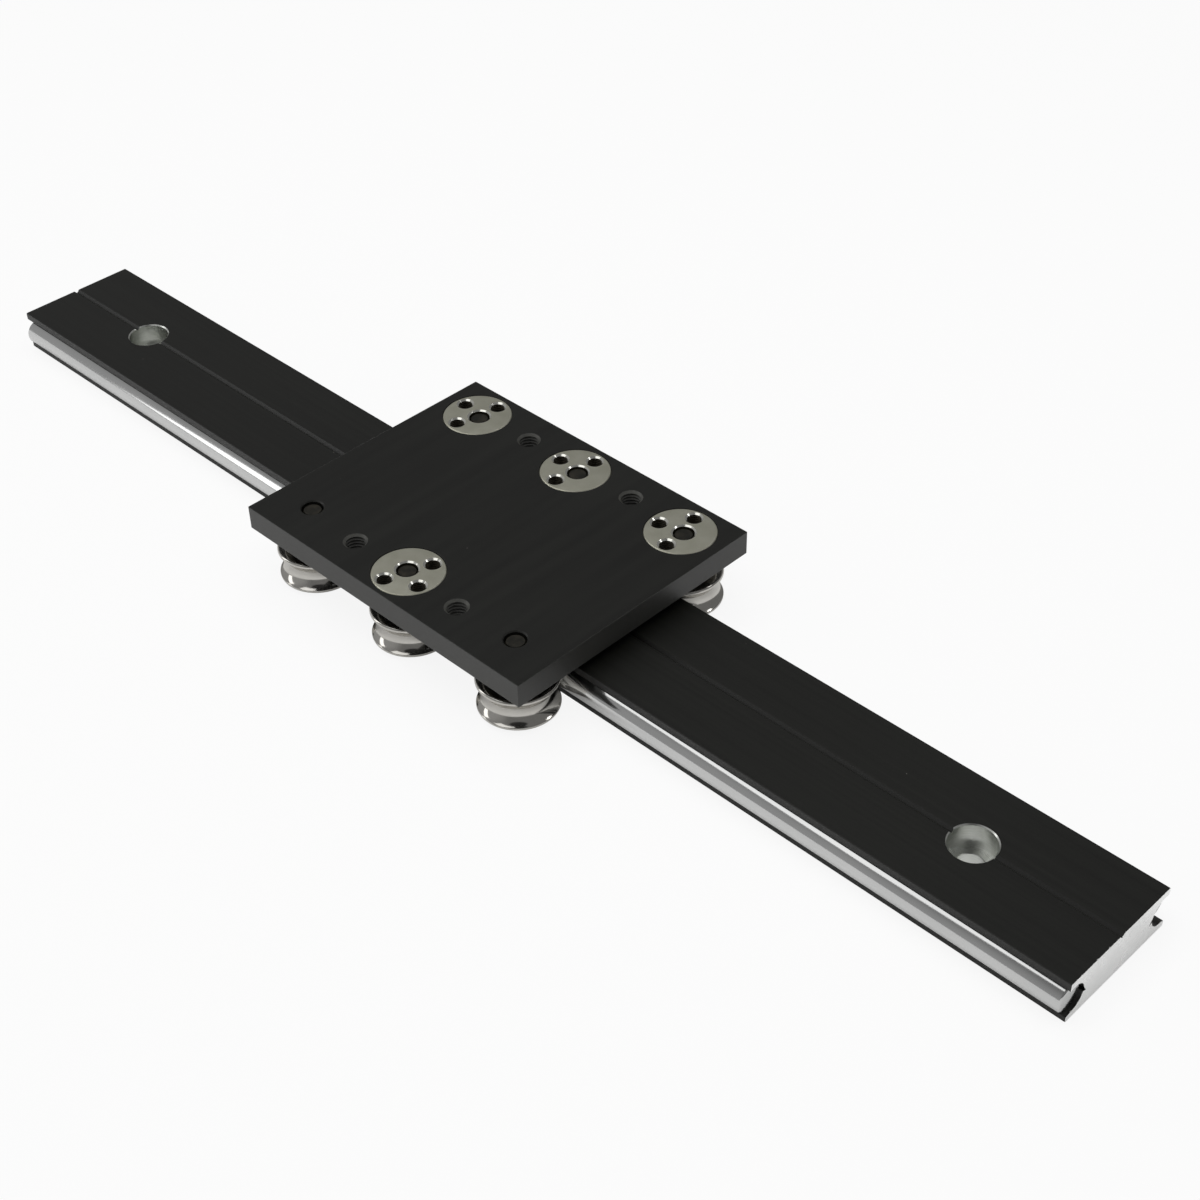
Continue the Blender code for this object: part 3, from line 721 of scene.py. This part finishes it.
def rail_mesh():
    right = rail_outline()
    left = [(-y, z) for y, z in reversed(right) if y > 0.0]
    shape = bmesh.new()
    start = -RAIL.x / 2
    points = [shape.verts.new((start, y, z)) for y, z in right + left]
    cap = shape.faces.new(points)
    far_end = bmesh.ops.extrude_face_region(shape, geom=[cap])
    new_points = [item for item in far_end["geom"] if isinstance(item, bmesh.types.BMVert)]
    bmesh.ops.translate(shape, verts=new_points, vec=(RAIL.x, 0.0, 0.0))
    bmesh.ops.recalc_face_normals(shape, faces=shape.faces)

    def is_lip_corner(edge):
        along_rail = abs(edge.verts[0].co.x - edge.verts[1].co.x) > RAIL.x / 2
        return along_rail and abs(edge.verts[0].co.y) > RAIL.y / 2 - OVERRUN

    soften(shape, LIP_ROUND, 3, is_lip_corner)
    for face in shape.faces:
        if abs(face.normal.x) > 0.9:
            face.material_index = 1
    return as_mesh("rail", shape, RAIL_BLACK, SAWN)


def mount_hole(number, x):
    floor = RAIL.z - COUNTERBORE_DEPTH
    radius = COUNTERBORE / 2
    shape = turned([
        (0.0, RAIL.z + OVERRUN),
        (radius + COUNTERBORE_CHAMFER + OVERRUN, RAIL.z + OVERRUN),
        (radius, RAIL.z - COUNTERBORE_CHAMFER),
        (radius, floor),
        (HOLE_BORE / 2 + HOLE_EDGE, floor),
        (HOLE_BORE / 2, floor - HOLE_EDGE),
        (HOLE_BORE / 2, -OVERRUN),
        (0.0, -OVERRUN),
    ])
    cutter = as_mesh("mount_hole", shape, bored_finish(f"bored_aluminium_{number}", (x, 0.0, 0.0)))
    cutter.transform(Matrix.Translation((x, 0.0, 0.0)))
    return cutter


holes = [mount_hole(i + 1, (i - 1) * HOLE_PITCH) for i in range(3)]
rail = add_piece("guide_rail", carve(rail_mesh(), holes), "rail", "black_anodised", "rail_extrusion")
print("rail:", len(rail.data.polygons), "faces")

# %% [markdown]
# Each shaft is a plain rod with a small chamfer at both ends. It is spun upright and then laid
# along X. At the rail's near end the front shaft stops 1 mm inside it, and the back one 2.5 mm.

# %% Shafts
SHAFT_CHAMFER = 0.0005
SHAFT_EDGE = 0.00008
END_DEPTH = {"front_shaft": 0.0, "back_shaft": 0.0022}


def shaft_mesh(node):
    half = size_of(node).x / 2
    near_end = half - END_DEPTH[node]
    shape = turned([
        (0.0, near_end),
        (SHAFT_RADIUS - SHAFT_CHAMFER, near_end),
        (SHAFT_RADIUS, near_end - SHAFT_CHAMFER),
        (SHAFT_RADIUS, SHAFT_CHAMFER - half),
        (SHAFT_RADIUS - SHAFT_CHAMFER, -half),
        (0.0, -half),
    ], steps=128)
    soften(shape, SHAFT_EDGE)
    mesh = as_mesh(node + "_rod", shape, SHAFT_STEEL)
    mesh.transform(Matrix.Translation(middle_of(node)) @ Matrix.Rotation(math.pi / 2, 4, "Y"))
    return mesh


for side in ("front", "back"):
    node = side + "_shaft"
    rod = add_piece("shaft_rod_" + side, shaft_mesh(node), "rail", "ground_steel", node)
    print(rod.name, len(rod.data.polygons), "faces")

# %% [markdown]
# The plate is milled flat. Its edges are only broken, and that narrow chamfer catches the light as a
# pale line, helped by the painted sheen of the sides on its half next to them.
# Four tapped holes go right through it, with a countersink at each mouth. The threads inside are
# real relief and not a bump, because they show as bright arcs when one looks into the hole.
# Each bushing sits in a stepped seat, and the two fixed axles screw straight into the plate.

# %% Plate
PLATE_LOW, PLATE_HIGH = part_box("carriage_plate")
PLATE_CENTRE = (PLATE_LOW + PLATE_HIGH) / 2
PLATE_EDGE = 0.00022
TAPPED_PITCH_X = 0.050
TAPPED_PITCH_Y = 0.080
TAPPED_MOUTH = 0.0042
TAPPED_RADIUS = 0.0034
THREAD_DEPTH = 0.0006
THREAD_PITCH = 0.00125
HEAD_HEIGHT = 0.005
BARREL = 0.018
SEAT_GAP = 0.00012
SEAT_EDGE = 0.0001
FIXED_MOUTH = 0.0042
FIXED_BORE = 0.0038
ECCENTRIC = ("back_left", "back_middle", "back_right", "front_middle")
FIXED = ("front_left", "front_right")


def tapped_hole(x, y):
    top = PLATE_HIGH.z
    bottom = PLATE_LOW.z
    cone = TAPPED_MOUTH - TAPPED_RADIUS
    shape = turned([
        (0.0, top + OVERRUN),
        (TAPPED_MOUTH + OVERRUN, top + OVERRUN),
        *thread(TAPPED_RADIUS, THREAD_DEPTH, THREAD_PITCH, top - cone, bottom + cone),
        (TAPPED_MOUTH + OVERRUN, bottom - OVERRUN),
        (0.0, bottom - OVERRUN),
    ], steps=64)
    mesh = as_mesh("tapped_hole", shape, THREAD_BLACK)
    mesh.transform(Matrix.Translation((x, y, 0.0)))
    return mesh


def bushing_seat(name):
    node = "eccentric_bushing_" + name
    head = size_of(node).x / 2
    top = PLATE_HIGH.z
    step = top - HEAD_HEIGHT - SEAT_GAP
    shape = turned([
        (0.0, top + OVERRUN),
        (head + SEAT_GAP + SEAT_EDGE + OVERRUN, top + OVERRUN),
        (head + SEAT_GAP, top - SEAT_EDGE),
        (head + SEAT_GAP, step),
        (BARREL / 2 + SEAT_GAP, step),
        (BARREL / 2 + SEAT_GAP, PLATE_LOW.z - OVERRUN),
        (0.0, PLATE_LOW.z - OVERRUN),
    ])
    mesh = as_mesh("bushing_seat", shape, PLATE_BLACK)
    mesh.transform(Matrix.Translation(axis_of(node)))
    return mesh


def axle_hole(name):
    top = PLATE_HIGH.z
    shape = turned([
        (0.0, top + OVERRUN),
        (FIXED_MOUTH + OVERRUN, top + OVERRUN),
        (FIXED_BORE, top - (FIXED_MOUTH - FIXED_BORE)),
        (FIXED_BORE, PLATE_LOW.z - OVERRUN),
        (0.0, PLATE_LOW.z - OVERRUN),
    ], steps=64)
    mesh = as_mesh("axle_hole", shape, PLATE_BLACK)
    mesh.transform(Matrix.Translation(axis_of("axle_screw_" + name)))
    return mesh


def plate_mesh():
    shape = bmesh.new()
    bmesh.ops.create_cube(shape, size=1.0)
    bmesh.ops.scale(shape, verts=shape.verts, vec=PLATE_HIGH - PLATE_LOW)
    bmesh.ops.translate(shape, verts=shape.verts, vec=PLATE_CENTRE)
    soften(shape, PLATE_EDGE)
    for face in shape.faces:
        # Painted sheen: faces that are not level get the greyer black.
        face.material_index = 1 if abs(face.normal.z) < 0.9 else 0
    return as_mesh("plate", shape, PLATE_BLACK, PLATE_SIDE_SHEEN)


plate_cutters = [bushing_seat(name) for name in ECCENTRIC] + [axle_hole(name) for name in FIXED]
for along in (-0.5, 0.5):
    for across in (-0.5, 0.5):
        x = PLATE_CENTRE.x + along * TAPPED_PITCH_X
        plate_cutters.append(tapped_hole(x, across * TAPPED_PITCH_Y))
drilled_plate = carve(plate_mesh(), plate_cutters)
plate = add_piece("plate_body", drilled_plate, "carriage", "black_anodised", "carriage_plate")
print("plate:", len(plate.data.polygons), "faces")

# %% [markdown]
# An eccentric bushing is a round head let in flush with the plate, with a barrel below it. The hole
# for the axle is a little off its middle, so turning the bushing with a pin wrench presses the
# roller against the shaft. The three wrench holes are threaded and countersunk, a quarter turn
# apart, with the middle one opposite the axle. The axle's place in the frame tells how each
# bushing was left turned.

# %% Eccentric bushings
WRENCH_HOLE_RING = 0.0085
WRENCH_MOUTH = 0.0032
WRENCH_RADIUS = 0.0025
WRENCH_THREAD_DEPTH = 0.0004
WRENCH_THREAD_PITCH = 0.0008
WRENCH_DEPTH = 0.004
DRILL_POINT = 0.0008
RIM_CHAMFER = 0.00035
BUSHING_EDGE = 0.00006
SINK_SLOPE = 0.68
AXLE_MOUTH = 0.0043
AXLE_BORE = 0.0037


def darken_below(shape, height):
    """Gives the faces of a hole below its countersink the second finish, which is painted shade."""
    for face in shape.faces:
        face.material_index = 1 if face.calc_center_median().z < height else 0


def bushing_mesh(name):
    node = "eccentric_bushing_" + name
    centre = axis_of(node)
    axle = axis_of("axle_screw_" + name)
    head = size_of(node).x / 2
    top = PLATE_HIGH.z
    finish = nickel_finish("nickel_" + name, centre)
    shape = turned([
        (0.0, top),
        (head - RIM_CHAMFER, top),
        (head, top - RIM_CHAMFER),
        (head, top - HEAD_HEIGHT),
        (BARREL / 2, top - HEAD_HEIGHT),
        (BARREL / 2, PLATE_LOW.z + SEAT_GAP),
        (0.0, PLATE_LOW.z + SEAT_GAP),
    ], steps=128)
    soften(shape, BUSHING_EDGE)
    body = as_mesh("bushing_" + name, shape, finish)
    body.transform(Matrix.Translation(centre))

    bore = turned([
        (0.0, top + OVERRUN * SINK_SLOPE),
        (AXLE_MOUTH + OVERRUN, top + OVERRUN * SINK_SLOPE),
        (AXLE_BORE, top - (AXLE_MOUTH - AXLE_BORE) * SINK_SLOPE),
        (AXLE_BORE, PLATE_LOW.z - OVERRUN),
        (0.0, PLATE_LOW.z - OVERRUN),
    ], steps=64)
    darken_below(bore, top - (AXLE_MOUTH - AXLE_BORE) * SINK_SLOPE)
    cutters = [moved(as_mesh("axle_bore", bore, COUNTERSUNK, BORE_SHADE), axle)]
    toward_axle = math.atan2(axle.y - centre.y, axle.x - centre.x)
    cone = (WRENCH_MOUTH - WRENCH_RADIUS) * SINK_SLOPE
    wrench = turned([
        (0.0, top + OVERRUN * SINK_SLOPE),
        (WRENCH_MOUTH + OVERRUN, top + OVERRUN * SINK_SLOPE),
        *thread(WRENCH_RADIUS, WRENCH_THREAD_DEPTH, WRENCH_THREAD_PITCH, top - cone, top - WRENCH_DEPTH),
        (0.0, top - WRENCH_DEPTH - DRILL_POINT),
    ], steps=48)
    darken_below(wrench, top - cone)
    hole = as_mesh("wrench_hole", wrench, COUNTERSUNK, BORE_SHADE)
    for quarter in (1, 2, 3):
        around = toward_axle + quarter * math.pi / 2
        x = centre.x + WRENCH_HOLE_RING * math.cos(around)
        y = centre.y + WRENCH_HOLE_RING * math.sin(around)
        cutters.append(moved(hole, (x, y, 0.0)))
    return carve(body, cutters)


for name in ECCENTRIC:
    node = "eccentric_bushing_" + name
    disc = add_piece("bushing_disc_" + name, bushing_mesh(name), "bushing_" + name, "nickel_plate", node)
    print(disc.name, len(disc.data.polygons), "faces")

# %% [markdown]
# An axle screw comes up from below: a thin head with a hexagon socket, a plain shoulder that
# carries the bearing and the collar, and a threaded end that stops just under the top face. The
# collar fills the space between the bearing and the plate, with a neck that touches only the inner
# ring and a wide flange against the plate.

# %% Axle screws and collars
THREAD_RADIUS = 0.0035
AXLE_THREAD_DEPTH = 0.0004
AXLE_THREAD_PITCH = 0.001
AXLE_RADIUS = 0.004
AXLE_HEAD_HEIGHT = 0.0009
HEAD_INNER_CHAMFER = 0.0002
HEAD_OUTER_CHAMFER = 0.0003
TIP_CHAMFER = 0.0001
SOCKET_WIDTH = 0.004
SOCKET_DEPTH = 0.004
AXLE_TIP = 0.0005
COLLAR_FLANGE_HEIGHT = 0.0026
COLLAR_GAP = 0.00015
COLLAR_EDGE = 0.0002


def axle_mesh():
    """An axle screw on the Z axis, at its real height."""
    low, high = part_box("axle_screw_front_left")
    head = (high.x - low.x) / 2
    head_top = low.z + AXLE_HEAD_HEIGHT
    shoulder = PLATE_LOW.z - SEAT_GAP
    root = THREAD_RADIUS - AXLE_THREAD_DEPTH
    shape = turned([
        (0.0, high.z),
        (root - TIP_CHAMFER, high.z),
        *thread(root, AXLE_THREAD_DEPTH, AXLE_THREAD_PITCH, high.z - AXLE_TIP, shoulder),
        (AXLE_RADIUS, shoulder),
        (AXLE_RADIUS, head_top),
        (head - HEAD_INNER_CHAMFER, head_top),
        (head, head_top - HEAD_INNER_CHAMFER),
        (head, low.z + HEAD_OUTER_CHAMFER),
        (head - HEAD_OUTER_CHAMFER, low.z),
        (0.0, low.z),
    ], steps=64)
    body = as_mesh("axle", shape, BLACKENED)
    socket = bmesh.new()
    corner = SOCKET_WIDTH / math.sqrt(3.0)
    depth = SOCKET_DEPTH + OVERRUN
    bmesh.ops.create_cone(
        socket, cap_ends=True, segments=6, radius1=corner, radius2=corner, depth=depth)
    bmesh.ops.translate(socket, verts=socket.verts, vec=(0.0, 0.0, low.z + SOCKET_DEPTH - depth / 2))
    return carve(body, [as_mesh("socket", socket, BLACKENED)])


def collar_mesh():
    low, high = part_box("collar_front_left")
    neck = size_of("inner_ring_front_left").x / 2
    flange = (high.x - low.x) / 2
    step = high.z - COLLAR_FLANGE_HEIGHT
    bore = AXLE_RADIUS + COLLAR_GAP
    shape = turned([
        (flange, high.z),
        (flange, step),
        (neck, step),
        (neck, low.z),
        (bore, low.z),
        (bore, high.z),
    ], closed=True)
    soften(shape, COLLAR_EDGE)
    return as_mesh("collar", shape, TURNED_STEEL)


def holder_of(name):
    """The body that carries a roller's axle, and with it the bearing's inner ring."""
    return "bushing_" + name if name in ECCENTRIC else "carriage"


axle_shape = axle_mesh()
collar_shape = collar_mesh()
for name in ECCENTRIC + FIXED:
    holder = holder_of(name)
    place = axis_of("axle_screw_" + name)
    axle = moved(axle_shape, place)
    spacer = moved(collar_shape, place)
    add_piece("axle_" + name, axle, holder, "blackened_steel", "axle_screw_" + name)
    add_piece("spacer_" + name, spacer, holder, "turned_steel", "collar_" + name)
print("axles and collars:", 2 * len(ECCENTRIC + FIXED))

# %% [markdown]
# A roller is a ball bearing whose outer ring is the wheel. The groove in its rim has the shaft's
# own round shape with a hair of clearance, between two polished flanges with rounded edges. Inside
# are the raceways, seven balls in a nylon cage, the inner ring and a shield on each side. Each of
# these is its own piece, so the bearing could be taken apart.

# %% Grooved rings, inner rings and shields
RING_LOW, RING_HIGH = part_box("outer_ring_back_left")
RING_RADIUS = (RING_HIGH.x - RING_LOW.x) / 2
RING_MIDDLE_Z = (RING_HIGH.z + RING_LOW.z) / 2
RING_CENTRE_Y = middle_of("outer_ring_back_left").y
ROLLER_GROOVE_RADIUS = SHAFT_RADIUS + GROOVE_GAP
RING_EDGE = 0.0009
GROOVE_LIP = 0.00012
INNER_RING_EDGE = 0.00015
RING_BORE_RADIUS = 0.0088
REBATE_RADIUS = 0.0096
REBATE_DEPTH = 0.0010
BALL_RADIUS = 0.0016
BALL_RING_RADIUS = 0.0074
BALL_COUNT = 7
RACEWAY_RADIUS = BALL_RADIUS + 0.0001
SHIELD_THICKNESS = 0.0005
SHIELD_INNER = 0.0062
SHIELD_OUTER = 0.0095
PANEL_DROP = 0.00012
SHIELD_BEAD_TOP = 0.0003
SHIELD_BEAD_FOOT = 0.0005
SHIELD_LIP_TOP = 0.0004
SHIELD_LIP_FOOT = 0.0006


def raceway(wall_radius, start):
    """A raceway cut into a wall, as an arc about the middle of the balls."""
    half = math.degrees(math.acos(abs(wall_radius - BALL_RING_RADIUS) / RACEWAY_RADIUS))
    return arc(BALL_RING_RADIUS, RING_MIDDLE_Z, RACEWAY_RADIUS, start - half, start + half, 12)


def grooved_ring_mesh():
    groove_axis = RING_CENTRE_Y - SHAFT_MIDDLE.y
    half = math.degrees(math.acos((groove_axis - RING_RADIUS) / ROLLER_GROOVE_RADIUS))
    groove = arc(groove_axis, RING_MIDDLE_Z, ROLLER_GROOVE_RADIUS, 180.0 - half, 180.0 + half, 28)
    top = RING_HIGH.z
    bottom = RING_LOW.z
    shape = turned([
        (REBATE_RADIUS, top),
        *arc(RING_RADIUS - RING_EDGE, top - RING_EDGE, RING_EDGE, 90.0, 0.0, 8),
        *groove,
        *arc(RING_RADIUS - RING_EDGE, bottom + RING_EDGE, RING_EDGE, 0.0, -90.0, 8),
        (REBATE_RADIUS, bottom),
        (REBATE_RADIUS, bottom + REBATE_DEPTH),
        (RING_BORE_RADIUS, bottom + REBATE_DEPTH),
        *raceway(RING_BORE_RADIUS, 0.0),
        (RING_BORE_RADIUS, top - REBATE_DEPTH),
        (REBATE_RADIUS, top - REBATE_DEPTH),
    ], closed=True, steps=128)
    soften(shape, GROOVE_LIP, 3)
    return as_mesh("grooved_ring", shape, RING_STEEL)


def bearing_ring_mesh():
    low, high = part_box("inner_ring_back_left")
    outer = (high.x - low.x) / 2
    bore = AXLE_RADIUS + COLLAR_GAP
    shape = turned([
        (outer, high.z),
        *raceway(outer, 180.0),
        (outer, low.z),
        (bore, low.z),
        (bore, high.z),
    ], closed=True)
    soften(shape, INNER_RING_EDGE)
    return as_mesh("bearing_ring", shape, TURNED_STEEL)


def shield_mesh(node):
    """A flat rubber disc with a pressed bead half way out and a thin lip at its bore."""
    low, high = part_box(node)
    bead = (SHIELD_INNER + SHIELD_OUTER) / 2
    panel = high.z - PANEL_DROP
    shape = turned([
        (SHIELD_OUTER, high.z),
        (SHIELD_OUTER, low.z),
        (SHIELD_INNER, low.z),
        (SHIELD_INNER, high.z),
        (SHIELD_INNER + SHIELD_LIP_TOP, high.z),
        (SHIELD_INNER + SHIELD_LIP_FOOT, panel),
        (bead - SHIELD_BEAD_FOOT, panel),
        (bead - SHIELD_BEAD_TOP, high.z),
        (bead + SHIELD_BEAD_TOP, high.z),
        (bead + SHIELD_BEAD_FOOT, panel),
        (SHIELD_OUTER - SHIELD_BEAD_FOOT, panel),
        (SHIELD_OUTER - SHIELD_BEAD_TOP, high.z),
    ], closed=True, steps=64)
    return as_mesh("shield", shape, RUBBER)


def upside_down(mesh, middle):
    """Mirrors a mesh in a level plane, with its faces still pointing out."""
    flipped = mesh.copy()
    flip = Matrix.Translation((0.0, 0.0, middle)) @ Matrix.Scale(-1.0, 4, (0.0, 0.0, 1.0))
    flipped.transform(flip @ Matrix.Translation((0.0, 0.0, -middle)))
    flipped.flip_normals()
    return flipped


ring_shape = grooved_ring_mesh()
bearing_shape = bearing_ring_mesh()
upper_shape = shield_mesh("upper_shield_back_left")
lower_shape = upside_down(upper_shape, RING_MIDDLE_Z)
print("grooved ring:", len(ring_shape.polygons), "faces")

# %% [markdown]
# The balls are spheres in a crown cage: a flat nylon band with a round pocket for each ball. We cut
# the pockets with the balls' own shape, made a little larger.

# %% Balls and cage
CAGE_WALL = 0.0005
CAGE_HALF_HEIGHT = 0.0013
POCKET_GAP = 0.0001
CAGE_EDGE = 0.00012


def ball_places():
    angles = [math.tau * i / BALL_COUNT for i in range(BALL_COUNT)]
    return [
        (BALL_RING_RADIUS * math.cos(angle), BALL_RING_RADIUS * math.sin(angle), RING_MIDDLE_Z)
        for angle in angles
    ]


def balls_mesh(radius, finish):
    shape = bmesh.new()
    for place in ball_places():
        bmesh.ops.create_uvsphere(
            shape, u_segments=32, v_segments=20, radius=radius, matrix=Matrix.Translation(place))
    return as_mesh("balls", shape, finish)


def cage_mesh():
    low = RING_MIDDLE_Z - CAGE_HALF_HEIGHT
    high = RING_MIDDLE_Z + CAGE_HALF_HEIGHT
    inner = BALL_RING_RADIUS - CAGE_WALL
    outer = BALL_RING_RADIUS + CAGE_WALL
    shape = turned([(outer, high), (outer, low), (inner, low), (inner, high)], closed=True)
    soften(shape, CAGE_EDGE)
    return carve(as_mesh("cage", shape, NYLON), [balls_mesh(BALL_RADIUS + POCKET_GAP, NYLON)])


balls_shape = balls_mesh(BALL_RADIUS, RING_STEEL)
cage_shape = cage_mesh()
for name in ECCENTRIC + FIXED:
    holder = holder_of(name)
    roller = "roller_" + name
    place = axis_of("outer_ring_" + name)
    ring = moved(ring_shape, place)
    upper = moved(upper_shape, place)
    lower = moved(lower_shape, place)
    bearing = moved(bearing_shape, place)
    balls = moved(balls_shape, place)
    crown = moved(cage_shape, place)
    add_piece("grooved_ring_" + name, ring, roller, "polished_steel", "outer_ring_" + name)
    add_piece("seal_upper_" + name, upper, roller, "shield_rubber", "upper_shield_" + name)
    add_piece("seal_lower_" + name, lower, roller, "shield_rubber", "lower_shield_" + name)
    add_piece("bearing_ring_" + name, bearing, holder, "polished_steel", "inner_ring_" + name)
    add_piece("balls_" + name, balls, "cage_" + name, "polished_steel", "ball_cage_" + name)
    add_piece("cage_crown_" + name, crown, "cage_" + name, "polished_steel")
print("rollers:", len(ECCENTRIC + FIXED))
